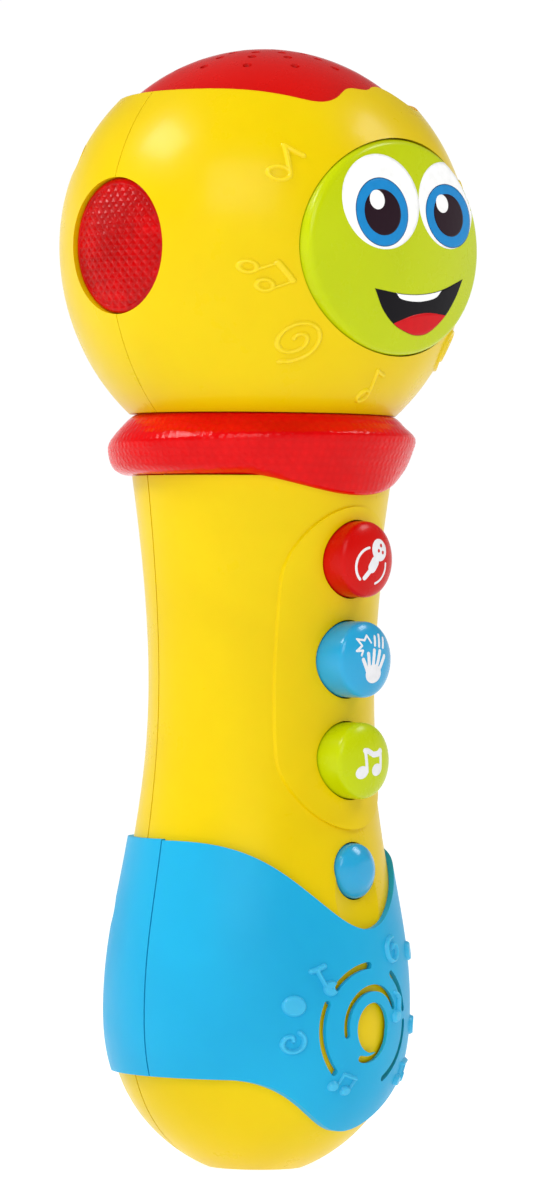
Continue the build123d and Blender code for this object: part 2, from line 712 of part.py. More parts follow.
cap_hole = extrude(cap_rim(0), amount=FAR, mode=Mode.PRIVATE)
head_seam = (head_form(HEAD_R + 1) - head_form(HEAD_R - HEAD_GROOVE)) & slab(
    HEAD_SEAM_Y - HEAD_GROOVE / 2, HEAD_SEAM_Y + HEAD_GROOVE / 2)
head_reach = head_form(HEAD_R - 1.0)

for name, near, far in (("head_front_shell", -FAR, HEAD_SEAM_Y),
                        ("head_rear_shell", HEAD_SEAM_Y, FAR)):
    is_front = near < 0
    with BuildPart() as half_shell:
        add(head_shell.part & slab(near, far))
        add(cap_hole, mode=Mode.SUBTRACT)
        for side in (-1, 1):
            add(lens_rod(side, LENS_R + 0.15), mode=Mode.SUBTRACT)
        if is_front:
            add(face_prism(0.2), mode=Mode.SUBTRACT)
        for x, z in HEAD_SCREWS:
            if is_front:
                add(tube_y(x, z, BOSS_R, PILOT_R, -FAR, HEAD_SEAM_Y) & head_reach)
            else:
                add(tube_y(x, z, 4.2, PILOT_R, HEAD_SEAM_Y, FAR) & head_reach)
                add(rod_y(x, z, 3.0, HEAD_SEAM_Y + 2.0, FAR), mode=Mode.SUBTRACT)
        if not is_front:
            # posts for the lamp board
            for x in (-12.0, 12.0):
                add(tube_y(x, HEAD_Z, 2.4, 0.95, 9.0, FAR) & head_reach)
        add(head_seam, mode=Mode.SUBTRACT)
    finish(half_shell.part, name)

with BuildPart() as face_disc:
    add(face_prism(0) & face_dome(0))
    fillet([edge for edge in face_disc.edges() if edge.bounding_box().max.Y < -25], FACE_EDGE)
    add(head_form(lip_r - LIP), mode=Mode.SUBTRACT)
    # hollow behind the dome, inside the rim
    add(face_prism(-2.0) & face_dome(1.6), mode=Mode.SUBTRACT)
    # lip behind the head's wall
    add((head_form(lip_r) - head_form(lip_r - LIP)) & (face_prism(INSERT_LIP) - face_prism(-1.0)))
finish(face_disc.part, "face_disc")

with BuildPart() as top_cap:
    add(insert(extrude(cap_rim(-0.15), amount=FAR, mode=Mode.PRIVATE),
               extrude(cap_rim(INSERT_LIP), amount=FAR, mode=Mode.PRIVATE),
               HEAD_R - CAP_SINK, lip_r, lip_r - LIP))
    # sound holes in rings, sunk part way, with the centre one open to the microphone
    for ring_r, count in CAP_RINGS:
        with BuildSketch(Plane.XY.offset(HEAD_Z + 20)):
            with PolarLocations(ring_r, count):
                Circle(CAP_HOLE_R)
        extrude(amount=FAR, mode=Mode.SUBTRACT)
    # socket for the microphone
    with BuildSketch(Plane.XY.offset(HEAD_Z + 27.6)):
        Circle(7.6)
        Circle(6.6, mode=Mode.SUBTRACT)
    extrude(amount=7.5)
finish(top_cap.part, "top_cap")

for side, name in ((-1, "side_lens_left"), (1, "side_lens_right")):
    with BuildPart() as side_lens:
        add(insert(lens_rod(side, LENS_R), lens_rod(side, LENS_R + 1.6),
                   HEAD_R - LENS_SINK, lip_r, lip_r - LIP))
    finish(side_lens.part, name)

with BuildPart() as microphone_sleeve:
    with BuildSketch(Plane.XY.offset(HEAD_Z + 27.8)):
        Circle(6.5)
        Circle(4.95, mode=Mode.SUBTRACT)
    extrude(amount=5.6)
finish(microphone_sleeve.part, "microphone_sleeve")

with BuildPart() as microphone_capsule:
    with BuildSketch(Plane.XY.offset(HEAD_Z + 28.2)):
        Circle(4.85)
    extrude(amount=5.0)
    with BuildSketch(Plane.XY.offset(HEAD_Z + 33.2)):
        Circle(2.0)
    extrude(amount=-0.6, mode=Mode.SUBTRACT)
finish(microphone_capsule.part, "microphone_capsule")

with BuildPart() as head_lamp_board:
    with BuildSketch(FRONT.offset(-9.0 + GAP)):
        with Locations((0, HEAD_Z)):
            RectangleRounded(46.0, 16.0, 2.0)
            with Locations((-12.0, 0), (12.0, 0)):
                Circle(1.1, mode=Mode.SUBTRACT)
    extrude(amount=1.4)
finish(head_lamp_board.part, "head_lamp_board")

with BuildPart() as head_lamps:
    for side in (-1, 1):
        with BuildSketch(Plane.YZ.offset(side * 23.2)):
            with Locations((8.2, HEAD_Z)):
                Circle(2.5)
        extrude(amount=side * 5.0)
        with Locations((side * 28.2, 8.2, HEAD_Z)):
            Sphere(2.5)
finish(head_lamps.part, "head_lamps")

with BuildPart() as lamp_board_screws:
    for x in (-12.0, 12.0):
        turned = screw(x, -HEAD_Z, 0, 5.0, shank=0.9, head=1.9)
        placed = turned.rotate(Axis.Z, 180).rotate(Axis.Y, 180)
        add(placed.moved(Location((0, 9.0 - 1.4 - 2 * GAP, 0))))
finish(lamp_board_screws.part, "lamp_board_screws")

with BuildPart() as head_screws:
    for x, z in HEAD_SCREWS:
        add(screw(x, z, HEAD_SEAM_Y + 2.0 + GAP, 13.0))
finish(head_screws.part, "head_screws")

# ---------------------------------------------------------------- leads
with BuildPart() as speaker_leads:
    for x in (-1.6, 1.6):
        add(lead([(x, -14.2, 36.0), (x, -8.9, 37.4), (x, -7.4, 44.0), (x, -7.5, 51.6)]))
finish(speaker_leads.part, "speaker_leads")

with BuildPart() as battery_leads:
    for x in (-10.0, -8.0):
        add(lead([(x, -0.2, 65.6), (x, -2.8, 66.2), (x, -2.9, 73.6), (x, -5.3, 74.0)]))
finish(battery_leads.part, "battery_leads")

with BuildPart() as head_leads:
    for x in (-2.0, 0.0, 2.0):
        add(lead([(x, -7.4, 120.4), (x, -6.6, 127.0), (x, -1.0, 134.2), (x, 1.5, 147.0),
                  (x, 4.2, 158.0), (x, 4.6, 166.0), (x, 7.1, 168.4)]))
finish(head_leads.part, "head_leads")

with BuildPart() as microphone_leads:
    for x in (-1.3, 1.3):
        add(lead([(x, 7.1, 177.0), (x, 4.4, 179.4), (x, 3.2, 187.0), (x, 0.4, 194.0),
                  (x, 0.2, 201.2)]))
finish(microphone_leads.part, "microphone_leads")
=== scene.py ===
"""Looks of the toy microphone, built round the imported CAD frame.

Metres, +Z up, the front of the toy towards -Y. Shapes are drawn in millimetres and scaled by MM.
"""
import json
import math

import bpy
import numpy as np
from mathutils import Matrix, Vector
from mathutils.bvhtree import BVHTree


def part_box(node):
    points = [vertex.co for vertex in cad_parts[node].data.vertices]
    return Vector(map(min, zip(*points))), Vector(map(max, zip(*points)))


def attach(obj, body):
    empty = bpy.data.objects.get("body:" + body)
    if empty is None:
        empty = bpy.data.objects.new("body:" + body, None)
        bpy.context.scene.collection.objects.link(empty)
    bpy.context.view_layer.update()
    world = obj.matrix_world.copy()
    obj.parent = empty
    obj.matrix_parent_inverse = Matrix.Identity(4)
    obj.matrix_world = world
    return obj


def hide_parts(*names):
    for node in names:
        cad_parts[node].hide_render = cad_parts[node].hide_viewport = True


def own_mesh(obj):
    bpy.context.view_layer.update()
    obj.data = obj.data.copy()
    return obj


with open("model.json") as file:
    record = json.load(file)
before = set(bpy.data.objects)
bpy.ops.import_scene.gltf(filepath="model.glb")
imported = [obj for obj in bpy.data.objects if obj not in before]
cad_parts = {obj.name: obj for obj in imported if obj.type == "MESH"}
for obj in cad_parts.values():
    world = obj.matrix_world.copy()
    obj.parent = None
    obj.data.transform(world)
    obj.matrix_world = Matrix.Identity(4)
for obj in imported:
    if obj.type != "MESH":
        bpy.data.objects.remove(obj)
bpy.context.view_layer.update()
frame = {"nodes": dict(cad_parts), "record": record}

nodes = frame["nodes"]
MM = 0.001

# ---------------------------------------------------------------- places taken from the frame
def middle_height(name):
    """Height of a CAD node's middle, in millimetres."""
    low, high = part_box(name)
    return (low.z + high.z) / 2 / MM


CAP_SINK = 1.6       # the cap lies this far inside the head's form
HEAD_R = 38.5
HEAD_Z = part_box("top_cap")[1].z / MM - (HEAD_R - CAP_SINK)
FACE_RISE = 0.4      # the face's print sits this far above the disc's middle
FACE_Z = middle_height("face_disc") + FACE_RISE
LENS_Z = middle_height("side_lens_left")
GRILLE_Z = middle_height("speaker_magnet")
AWAY = 80.0          # rays that look for a skin start this far out
SINK = 0.3           # the back of a mark or print lies this far under the skin
MARK_EDGE = -0.16    # height of a raised mark's outer edge, just under the skin
PRINT_EDGE = -0.03   # the same for a print


# ---------------------------------------------------------------- small tools
def smooth(mesh):
    """Shade every face of a mesh smoothly."""
    mesh.polygons.foreach_set("use_smooth", np.ones(len(mesh.polygons), bool))


def new_piece(name, points, faces, body, material):
    """A mesh piece from points in millimetres, riding on a body."""
    mesh = bpy.data.meshes.new(name)
    mesh.from_pydata([(p[0] * MM, p[1] * MM, p[2] * MM) for p in points], [], faces)
    mesh.validate()
    smooth(mesh)
    mesh.materials.append(material)
    piece = bpy.data.objects.new(name, mesh)
    bpy.context.scene.collection.objects.link(piece)
    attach(piece, body)
    return piece


def slab(name, tops, backs, faces, body, material):
    """Closed piece: a sheet, its back a little way under the skin, and walls along its edges."""
    count = len(tops)
    edges = {}
    for face in faces:
        for a, b in zip(face, [*face[1:], face[0]]):
            edges[(a, b)] = edges.get((a, b), 0) + 1
    under = [[i + count for i in reversed(face)] for face in faces]
    walls = [(b, a, a + count, b + count) for a, b in edges if (b, a) not in edges]
    piece = new_piece(name, [*tops, *backs], [*faces, *under, *walls], body, material)
    return piece


def skin_of(*names):
    """Ray target made of the faces of some CAD nodes."""
    verts = []
    polys = []
    for name in names:
        mesh = nodes[name].data
        first = len(verts)
        verts.extend(v.co / MM for v in mesh.vertices)
        polys.extend([first + i for i in p.vertices] for p in mesh.polygons)
    return BVHTree.FromPolygons(verts, polys)


def drop(skin, start, way):
    """Where a ray meets a skin, and the skin's outward direction there."""
    place, normal, _, _ = skin.ray_cast(Vector(start), Vector(way))
    if place is None:
        return None, None
    if normal.dot(Vector(way)) > 0:
        normal = -normal
    return place, normal


# ---------------------------------------------------------------- materials
def socket_names(tree):
    """The material's shader and its tree's two makers."""
    return tree.nodes["Principled BSDF"], tree.nodes.new, tree.links.new


def plastic(name, colour, shade, rough=0.28, coat=0.10, grain=1.0, body_glow=0.06, shine=0.25):
    """Moulded plastic: slight flow marks in the colour, fine grain, uneven gloss, soft ripples."""
    material = bpy.data.materials.new(name)
    material.use_nodes = True
    shader, node, link = socket_names(material.node_tree)
    place = node("ShaderNodeTexCoord")

    flow = node("ShaderNodeTexNoise")
    flow.inputs["Scale"].default_value = 28.0
    flow.inputs["Detail"].default_value = 3.0
    flow.inputs["Distortion"].default_value = 0.6
    link(place.outputs["Object"], flow.inputs["Vector"])
    flow_ramp = node("ShaderNodeValToRGB")
    flow_ramp.color_ramp.elements[0].position = 0.32
    flow_ramp.color_ramp.elements[0].color = (*shade, 1.0)
    flow_ramp.color_ramp.elements[1].position = 0.62
    flow_ramp.color_ramp.elements[1].color = (*colour, 1.0)
    link(flow.outputs["Fac"], flow_ramp.inputs["Fac"])

    dust = node("ShaderNodeTexNoise")
    dust.inputs["Scale"].default_value = 420.0
    dust.inputs["Detail"].default_value = 5.0
    link(place.outputs["Object"], dust.inputs["Vector"])
    dust_mix = node("ShaderNodeMix")
    dust_mix.data_type = "RGBA"
    dust_mix.blend_type = "MULTIPLY"
    dust_mix.inputs["Factor"].default_value = 0.04
    link(flow_ramp.outputs["Color"], dust_mix.inputs["A"])
    link(dust.outputs["Color"], dust_mix.inputs["B"])
    link(dust_mix.outputs["Result"], shader.inputs["Base Color"])

    wear = node("ShaderNodeTexNoise")
    wear.inputs["Scale"].default_value = 95.0
    wear.inputs["Detail"].default_value = 6.0
    wear.inputs["Roughness"].default_value = 0.65
    link(place.outputs["Object"], wear.inputs["Vector"])
    gloss = node("ShaderNodeMapRange")
    gloss.inputs["From Min"].default_value = 0.3
    gloss.inputs["From Max"].default_value = 0.7
    gloss.inputs["To Min"].default_value = max(0.04, rough - 0.05)
    gloss.inputs["To Max"].default_value = rough + 0.07
    link(wear.outputs["Fac"], gloss.inputs["Value"])
    link(gloss.outputs["Result"], shader.inputs["Roughness"])

    fine = node("ShaderNodeTexNoise")
    fine.inputs["Scale"].default_value = 2600.0
    fine.inputs["Detail"].default_value = 2.0
    link(place.outputs["Object"], fine.inputs["Vector"])
    fine_bump = node("ShaderNodeBump")
    fine_bump.inputs["Strength"].default_value = 0.10 * grain
    fine_bump.inputs["Distance"].default_value = 0.00004
    link(fine.outputs["Fac"], fine_bump.inputs["Height"])
    ripple = node("ShaderNodeTexNoise")
    ripple.inputs["Scale"].default_value = 60.0
    ripple.inputs["Detail"].default_value = 1.0
    link(place.outputs["Object"], ripple.inputs["Vector"])
    ripple_bump = node("ShaderNodeBump")
    ripple_bump.inputs["Strength"].default_value = 0.12
    ripple_bump.inputs["Distance"].default_value = 0.0006
    link(ripple.outputs["Fac"], ripple_bump.inputs["Height"])
    link(fine_bump.outputs["Normal"], ripple_bump.inputs["Normal"])
    link(ripple_bump.outputs["Normal"], shader.inputs["Normal"])

    shader.inputs["Specular IOR Level"].default_value = shine
    shader.inputs["Coat Weight"].default_value = coat
    shader.inputs["Coat Roughness"].default_value = 0.12
    shader.inputs["IOR"].default_value = 1.49
    shader.inputs["Subsurface Weight"].default_value = body_glow
    shader.inputs["Subsurface Radius"].default_value = (0.004, 0.003, 0.001)
    shader.inputs["Subsurface Scale"].default_value = 0.5
    return material


def clear_red(name, colour, deep_tone_and_facet_shade, glow, pitch):
    """Tinted clear plastic over prism facets: facets bumped into the body, a smooth clear face over them;
    the colour deepens towards each facet cell's edge as painted facet shade, over a random cloudy tone.
    """
    material = bpy.data.materials.new(name)
    material.use_nodes = True
    shader, node, link = socket_names(material.node_tree)
    place = node("ShaderNodeTexCoord")
    cells = node("ShaderNodeTexVoronoi")
    cells.inputs["Scale"].default_value = 1.0 / (pitch * MM)
    cells.inputs["Randomness"].default_value = 0.25
    link(place.outputs["Object"], cells.inputs["Vector"])
    cloud = node("ShaderNodeTexNoise")
    cloud.inputs["Scale"].default_value = 110.0
    cloud.inputs["Detail"].default_value = 3.0
    link(place.outputs["Object"], cloud.inputs["Vector"])
    blend = node("ShaderNodeMath")
    blend.operation = "MULTIPLY_ADD"
    blend.inputs[1].default_value = 0.55
    link(cells.outputs["Distance"], blend.inputs[0])
    link(cloud.outputs["Fac"], blend.inputs[2])
    # Painted facet shade: the red deepens towards each cell's edge, over a random cloudy tone; the glow
    # takes the same pattern.
    ramp = node("ShaderNodeValToRGB")
    ramp.color_ramp.elements[0].position = 0.35
    ramp.color_ramp.elements[0].color = (*colour, 1.0)
    ramp.color_ramp.elements[1].position = 0.95
    ramp.color_ramp.elements[1].color = (*deep_tone_and_facet_shade, 1.0)
    link(blend.outputs["Value"], ramp.inputs["Fac"])
    link(ramp.outputs["Color"], shader.inputs["Base Color"])
    link(ramp.outputs["Color"], shader.inputs["Emission Color"])
    shader.inputs["Emission Strength"].default_value = glow
    facets = node("ShaderNodeBump")
    facets.inputs["Strength"].default_value = 0.5
    facets.inputs["Distance"].default_value = 0.0003
    link(cells.outputs["Distance"], facets.inputs["Height"])
    link(facets.outputs["Normal"], shader.inputs["Normal"])
    rough = node("ShaderNodeMapRange")
    rough.inputs["To Min"].default_value = 0.10
    rough.inputs["To Max"].default_value = 0.24
    link(cloud.outputs["Fac"], rough.inputs["Value"])
    link(rough.outputs["Result"], shader.inputs["Roughness"])
    shader.inputs["IOR"].default_value = 1.5
    shader.inputs["Transmission Weight"].default_value = 0.08
    shader.inputs["Subsurface Weight"].default_value = 0.20
    shader.inputs["Subsurface Radius"].default_value = (0.006, 0.001, 0.001)
    shader.inputs["Subsurface Scale"].default_value = 0.5
    shader.inputs["Specular IOR Level"].default_value = 0.07
    shader.inputs["Coat Weight"].default_value = 0.08
    shader.inputs["Coat Roughness"].default_value = 0.06
    return material


def ink(name, colour, rough=0.34):
    """Printed ink: a thin even film with faint mottling."""
    material = bpy.data.materials.new(name)
    material.use_nodes = True
    shader, node, link = socket_names(material.node_tree)
    place = node("ShaderNodeTexCoord")
    film = node("ShaderNodeTexNoise")
    film.inputs["Scale"].default_value = 700.0
    film.inputs["Detail"].default_value = 3.0
    link(place.outputs["Object"], film.inputs["Vector"])
    ramp = node("ShaderNodeValToRGB")
    ramp.color_ramp.elements[0].position = 0.3
    ramp.color_ramp.elements[0].color = (*[c * 0.93 for c in colour], 1.0)
    ramp.color_ramp.elements[1].position = 0.6
    ramp.color_ramp.elements[1].color = (*colour, 1.0)
    link(film.outputs["Fac"], ramp.inputs["Fac"])
    link(ramp.outputs["Color"], shader.inputs["Base Color"])
    gloss = node("ShaderNodeMapRange")
    gloss.inputs["To Min"].default_value = rough - 0.05
    gloss.inputs["To Max"].default_value = rough + 0.08
    link(film.outputs["Fac"], gloss.inputs["Value"])
    link(gloss.outputs["Result"], shader.inputs["Roughness"])
    shader.inputs["Specular IOR Level"].default_value = 0.06
    shader.inputs["Coat Weight"].default_value = 0.02
    shader.inputs["Coat Roughness"].default_value = 0.15
    return material


def metal(name, colour, rough=0.32):
    """Plated steel with drawn streaks."""
    material = bpy.data.materials.new(name)
    material.use_nodes = True
    shader, node, link = socket_names(material.node_tree)
    place = node("ShaderNodeTexCoord")
    stretch = node("ShaderNodeMapping")
    stretch.inputs["Scale"].default_value = (400.0, 400.0, 2400.0)
    link(place.outputs["Object"], stretch.inputs["Vector"])
    streak = node("ShaderNodeTexNoise")
    streak.inputs["Scale"].default_value = 1.0
    streak.inputs["Detail"].default_value = 4.0
    link(stretch.outputs["Vector"], streak.inputs["Vector"])
    ramp = node("ShaderNodeValToRGB")
    ramp.color_ramp.elements[0].color = (*[c * 0.75 for c in colour], 1.0)
    ramp.color_ramp.elements[1].color = (*colour, 1.0)
    link(streak.outputs["Fac"], ramp.inputs["Fac"])
    link(ramp.outputs["Color"], shader.inputs["Base Color"])
    gloss = node("ShaderNodeMapRange")
    gloss.inputs["To Min"].default_value = rough - 0.1
    gloss.inputs["To Max"].default_value = rough + 0.12
    link(streak.outputs["Fac"], gloss.inputs["Value"])
    link(gloss.outputs["Result"], shader.inputs["Roughness"])
    shader.inputs["Metallic"].default_value = 1.0
    return material


YELLOW = plastic("yellow_plastic", (0.755, 0.545, 0.000), (0.715, 0.505, 0.000), rough=0.30,
                 coat=0.04, shine=0.12)
RED = plastic("red_plastic", (0.600, 0.003, 0.001), (0.530, 0.002, 0.001), rough=0.26, coat=0.04,
              shine=0.13)
BLUE = plastic("blue_plastic", (0.010, 0.390, 0.670), (0.008, 0.350, 0.620), rough=0.40, coat=0.0,
               shine=0.15)
BLUE_BUTTON = plastic("blue_button_plastic", (0.020, 0.365, 0.640), (0.016, 0.325, 0.590),
                      rough=0.20, coat=0.10, shine=0.3)
# Lighter blue for the raised marks: a painted highlight standing in for the light their rims catch.
BLUE_MARK_PAINTED_HIGHLIGHT = plastic("blue_mark_painted_highlight", (0.045, 0.460, 0.735), (0.038, 0.420, 0.690), rough=0.34,
                    coat=0.05, shine=0.25)
# Lighter yellow for the raised marks: a painted highlight standing in for the light their rims catch.
YELLOW_MARK_PAINTED_HIGHLIGHT = plastic("yellow_mark_painted_highlight", (0.810, 0.600, 0.010), (0.775, 0.565, 0.009), rough=0.28,
                      coat=0.08, shine=0.2)
LIME = plastic("lime_plastic", (0.500, 0.590, 0.000), (0.465, 0.550, 0.000), rough=0.26, coat=0.05,
               shine=0.15)
LENS = clear_red("clear_red_lens", (0.500, 0.000, 0.001), (0.300, 0.000, 0.000), 0.40, 2.0)
COLLAR = clear_red("clear_red_collar", (0.640, 0.001, 0.002), (0.540, 0.000, 0.001), 0.18, 1.5)
WHITE_INK = ink("white_ink", (0.92, 0.92, 0.91))
PALE_INK = ink("pale_ink", (0.76, 0.76, 0.78))
BLACK_INK = ink("black_ink", (0.006, 0.005, 0.007))
PUPIL_INK = ink("pupil_ink", (0.018, 0.006, 0.012))
IRIS_INK = ink("iris_ink", (0.012, 0.230, 0.560))
TONGUE_INK = ink("tongue_ink", (0.600, 0.008, 0.012))
RIM_INK = ink("iris_rim_ink", (0.010, 0.035, 0.130))
STEEL = metal("plated_steel", (0.62, 0.63, 0.65))
FERRITE = plastic("ferrite", (0.030, 0.030, 0.033), (0.018, 0.018, 0.020), rough=0.55, coat=0.0)
SILICONE = plastic("silicone", (0.55, 0.55, 0.52), (0.48, 0.48, 0.45), rough=0.6, coat=0.0,
                   body_glow=0.3)
BOARD = plastic("circuit_green", (0.012, 0.120, 0.035), (0.008, 0.085, 0.022), rough=0.35)
BLACK = plastic("black_plastic", (0.016, 0.016, 0.016), (0.010, 0.010, 0.010), rough=0.45)
WHITE = plastic("white_plastic", (0.72, 0.72, 0.69), (0.66, 0.66, 0.63), rough=0.4, coat=0.1)
LAMP = plastic("lamp_lens", (0.80, 0.80, 0.76), (0.70, 0.70, 0.66), rough=0.12, body_glow=0.5)
PAPER = plastic("speaker_paper", (0.030, 0.028, 0.026), (0.020, 0.019, 0.018), rough=0.8,
                coat=0.0, grain=4.0)
JACKET = plastic("battery_jacket", (0.035, 0.150, 0.085), (0.026, 0.120, 0.066), rough=0.3)
LEAD = plastic("lead_insulation", (0.55, 0.015, 0.012), (0.46, 0.012, 0.010), rough=0.4)

NODE_MATERIALS = {
    "yellow_plastic": YELLOW, "red_plastic": RED, "blue_plastic": BLUE,
    "blue_button_plastic": BLUE_BUTTON, "lime_plastic": LIME, "red_translucent": LENS,
    "silicone": SILICONE, "circuit_green": BOARD, "black_plastic": BLACK, "white_plastic": WHITE,
    "lamp_lens": LAMP, "speaker_paper": PAPER, "zinc_steel": STEEL, "ferrite": FERRITE,
    "battery_jacket": JACKET, "lead_insulation": LEAD,
}
for part in frame["record"]["subparts"]:
    owner = nodes[part["node"]]
    owner.data.materials.clear()
    owner.data.materials.append(NODE_MATERIALS[part["material_slot"]])


# ---------------------------------------------------------------- outlines as distances
def disc(u, v, cu, cv, radius):
    """Distance to a disc's edge, negative inside."""
    return np.hypot(u - cu, v - cv) - radius


def oval(u, v, cu, cv, ru, rv, turn=0.0):
    """Distance to a turned ellipse's edge, nearly true near the edge."""
    c, s = math.cos(math.radians(turn)), math.sin(math.radians(turn))
    du = (u - cu) * c + (v - cv) * s
    dv = -(u - cu) * s + (v - cv) * c
    size = np.hypot(du / ru, dv / rv)
    slope = np.hypot(du / ru ** 2, dv / rv ** 2)
    return size * (size - 1.0) / np.maximum(slope, 1e-6)


def bar(u, v, start, end, width):
    """Distance to a round-ended bar between two points."""
    au, av = start
    du, dv = end[0] - au, end[1] - av
    along = np.clip(((u - au) * du + (v - av) * dv) / (du * du + dv * dv), 0.0, 1.0)
    return np.hypot(u - au - along * du, v - av - along * dv) - width / 2


def strip(u, v, points, width):
    """Distance to a round-ended strip through several points."""
    return np.minimum.reduce([bar(u, v, a, b, width) for a, b in zip(points, points[1:])])


def union(*shapes):
    """Distance to several shapes together."""
    return np.minimum.reduce(shapes)


def curl(turns, inner, outer, first, way=1, ease=0.8, pieces=40):
    """Points of a spiral that opens from inner to outer radius."""
    points = []
    for step in range(pieces + 1):
        part = step / pieces
        turn = math.radians(first) + way * turns * 2 * math.pi * part
        radius = inner + (outer - inner) * part ** ease
        points.append((radius * math.cos(turn), radius * math.sin(turn)))
    return points


def turned(u, v, angle):
    """Coordinates turned so that a shape drawn upright comes out turned by angle degrees."""
    c, s = math.cos(math.radians(angle)), math.sin(math.radians(angle))
    return u * c + v * s, -u * s + v * c


def quaver(u, v):
    """Single note with a flag, about 5 mm high, its head at the origin."""
    return union(oval(u, v, 0.0, 0.0, 1.35, 1.2, 15),
                 bar(u, v, (1.05, 0.2), (1.05, 4.0), 0.62),
                 strip(u, v, [(1.05, 4.0), (2.0, 3.3), (2.7, 2.9)], 0.75))


def beamed_pair(u, v):
    """Two notes joined by a beam, about 4 mm high, centred."""
    return union(oval(u, v, -1.8, -1.7, 1.3, 1.1, 20), oval(u, v, 1.7, -1.2, 1.3, 1.1, 20),
                 bar(u, v, (-0.95, -1.6), (-0.95, 1.4), 0.5),
                 bar(u, v, (2.55, -1.1), (2.55, 1.9), 0.5),
                 bar(u, v, (-0.9, 1.35), (2.5, 1.85), 0.95))


# ---------------------------------------------------------------- raised marks
def raised(name, shape, centre, reach, skin, body, material, rise, shoulder, step):
    """Soft-edged mark moulded on a skin: shape gives distance in front-view millimetres.

    The mark is a grid laid on the skin and lifted where the shape is; its edge goes just under
    the skin, so it meets the surface in a clean line.
    """
    count = int(2 * reach / step) + 1
    line = np.linspace(-reach, reach, count)
    u, v = np.meshgrid(line, line)
    gap = shape(u, v)
    inside = np.clip(-gap / shoulder, 0.0, 1.0)
    lift = rise * np.sin(inside * math.pi / 2)
    lift = np.where(gap > 0, MARK_EDGE * np.clip(gap / step, 0.0, 1.0), lift)
    near = gap < 1.5 * step
    index = -np.ones(gap.shape, int)
    points = []
    backs = []
    for j, i in zip(*np.nonzero(near)):
        start = Vector(centre) + Vector((float(u[j, i]), -AWAY, float(v[j, i])))
        place, normal = drop(skin, start, (0, 1, 0))
        if place is None:
            continue
        index[j, i] = len(points)
        points.append(place + normal * float(lift[j, i]))
        backs.append(place - normal * SINK)
    faces = []
    for j in range(count - 1):
        for i in range(count - 1):
            corners = (index[j, i], index[j, i + 1], index[j + 1, i + 1], index[j + 1, i])
            if min(corners) >= 0:
                faces.append([int(c) for c in corners])
    return slab(name, points, backs, faces, body, material)


def printed_oval(name, centre, size, skin, body, material, lift, turn=0.0, rings=14, around=72):
    """Printed oval laid on a skin, seen from the front."""
    c, s = math.cos(math.radians(turn)), math.sin(math.radians(turn))
    points = []
    backs = []
    for ring in range(rings + 2):
        part = min(ring, rings) / rings
        height = lift if ring <= rings else PRINT_EDGE
        for k in range(around):
            angle = 2 * math.pi * k / around
            eu, ev = size[0] * part * math.cos(angle), size[1] * part * math.sin(angle)
            spot = (centre[0] + eu * c - ev * s, -AWAY, centre[1] + eu * s + ev * c)
            place, normal = drop(skin, spot, (0, 1, 0))
            points.append(place + normal * height)
            backs.append(place - normal * SINK)
            if ring == 0:
                break
    faces = [(0, 1 + k, 1 + (k + 1) % around) for k in range(around)]
    for ring in range(rings):
        for k in range(around):
            a = 1 + ring * around + k
            b = 1 + ring * around + (k + 1) % around
            faces.append((a, a + around, b + around, b))
    return slab(name, points, backs, faces, body, material)


def printed_band(name, low, high, span, skin, body, material, lift, columns=64, rows=14):
    """Printed area between two curves low(x) and high(x), laid on a skin."""
    points = []
    backs = []
    for i in range(columns + 1):
        x = span[0] + (span[1] - span[0]) * i / columns
        for j in range(-1, rows + 2):
            part = min(max(j, 0), rows) / rows
            z = low(x) + max(high(x) - low(x), 0.04) * part
            place, normal = drop(skin, (x, -AWAY, z), (0, 1, 0))
            points.append(place + normal * (lift if 0 <= j <= rows else PRINT_EDGE))
            backs.append(place - normal * SINK)
    tall = rows + 3
    faces = []
    for i in range(columns):
        for j in range(tall - 1):
            a = i * tall + j
            faces.append((a, a + tall, a + tall + 1, a + 1))
    return slab(name, points, backs, faces, body, material)


# ---------------------------------------------------------------- face
face_skin = skin_of("face_disc")


def through(points, x):
    """Smooth curve's height at x, through a few points given from left to right."""
    k = 1
    while k < len(points) - 1 and x > points[k][0]:
        k += 1
    (xa, za), (xb, zb) = points[k - 1], points[k]
    before = points[max(k - 2, 0)]
    after = points[min(k + 1, len(points) - 1)]
    slope_a = (zb - before[1]) / (xb - before[0])
    slope_b = (after[1] - za) / (after[0] - xa)
    t = (x - xa) / (xb - xa)
    wide = xb - xa
    return ((2 * t ** 3 - 3 * t ** 2 + 1) * za + (t ** 3 - 2 * t ** 2 + t) * wide * slope_a
            + (3 * t ** 2 - 2 * t ** 3) * zb + (t ** 3 - t ** 2) * wide * slope_b)


def draw_eye(tag, white, iris, pupil, shine, lean):
    """One printed eye; each oval is middle x, middle z over the disc's middle, half sizes."""
    film = 0.05
    for part, oval_size, material in (("white", white, WHITE_INK),
                                      ("iris_rim", [*iris[:2], iris[2] + 0.12, iris[3] + 0.12],
                                       RIM_INK),
                                      ("iris", iris, IRIS_INK), ("pupil", pupil, PUPIL_INK),
                                      ("shine", shine, WHITE_INK)):
        x, z, half_wide, half_high = oval_size
        printed_oval(f"eye_{part}_{tag}", (x, FACE_Z + z), (half_wide, half_high), face_skin,
                     "toy", material, film, turn=0.0 if part == "white" else lean)
        film += 0.03


draw_eye("left", (-7.15, 7.65, 9.8, 8.8), (-7.35, 5.7, 6.55, 6.25), (-7.4, 5.65, 4.6, 4.25),
         (-8.75, 7.9, 1.85, 1.8), 0)
draw_eye("right", (11.95, 7.9, 9.3, 8.1), (12.35, 5.95, 7.7, 5.8), (12.1, 6.05, 5.1, 3.95),
         (9.9, 8.1, 2.0, 1.7), -5)

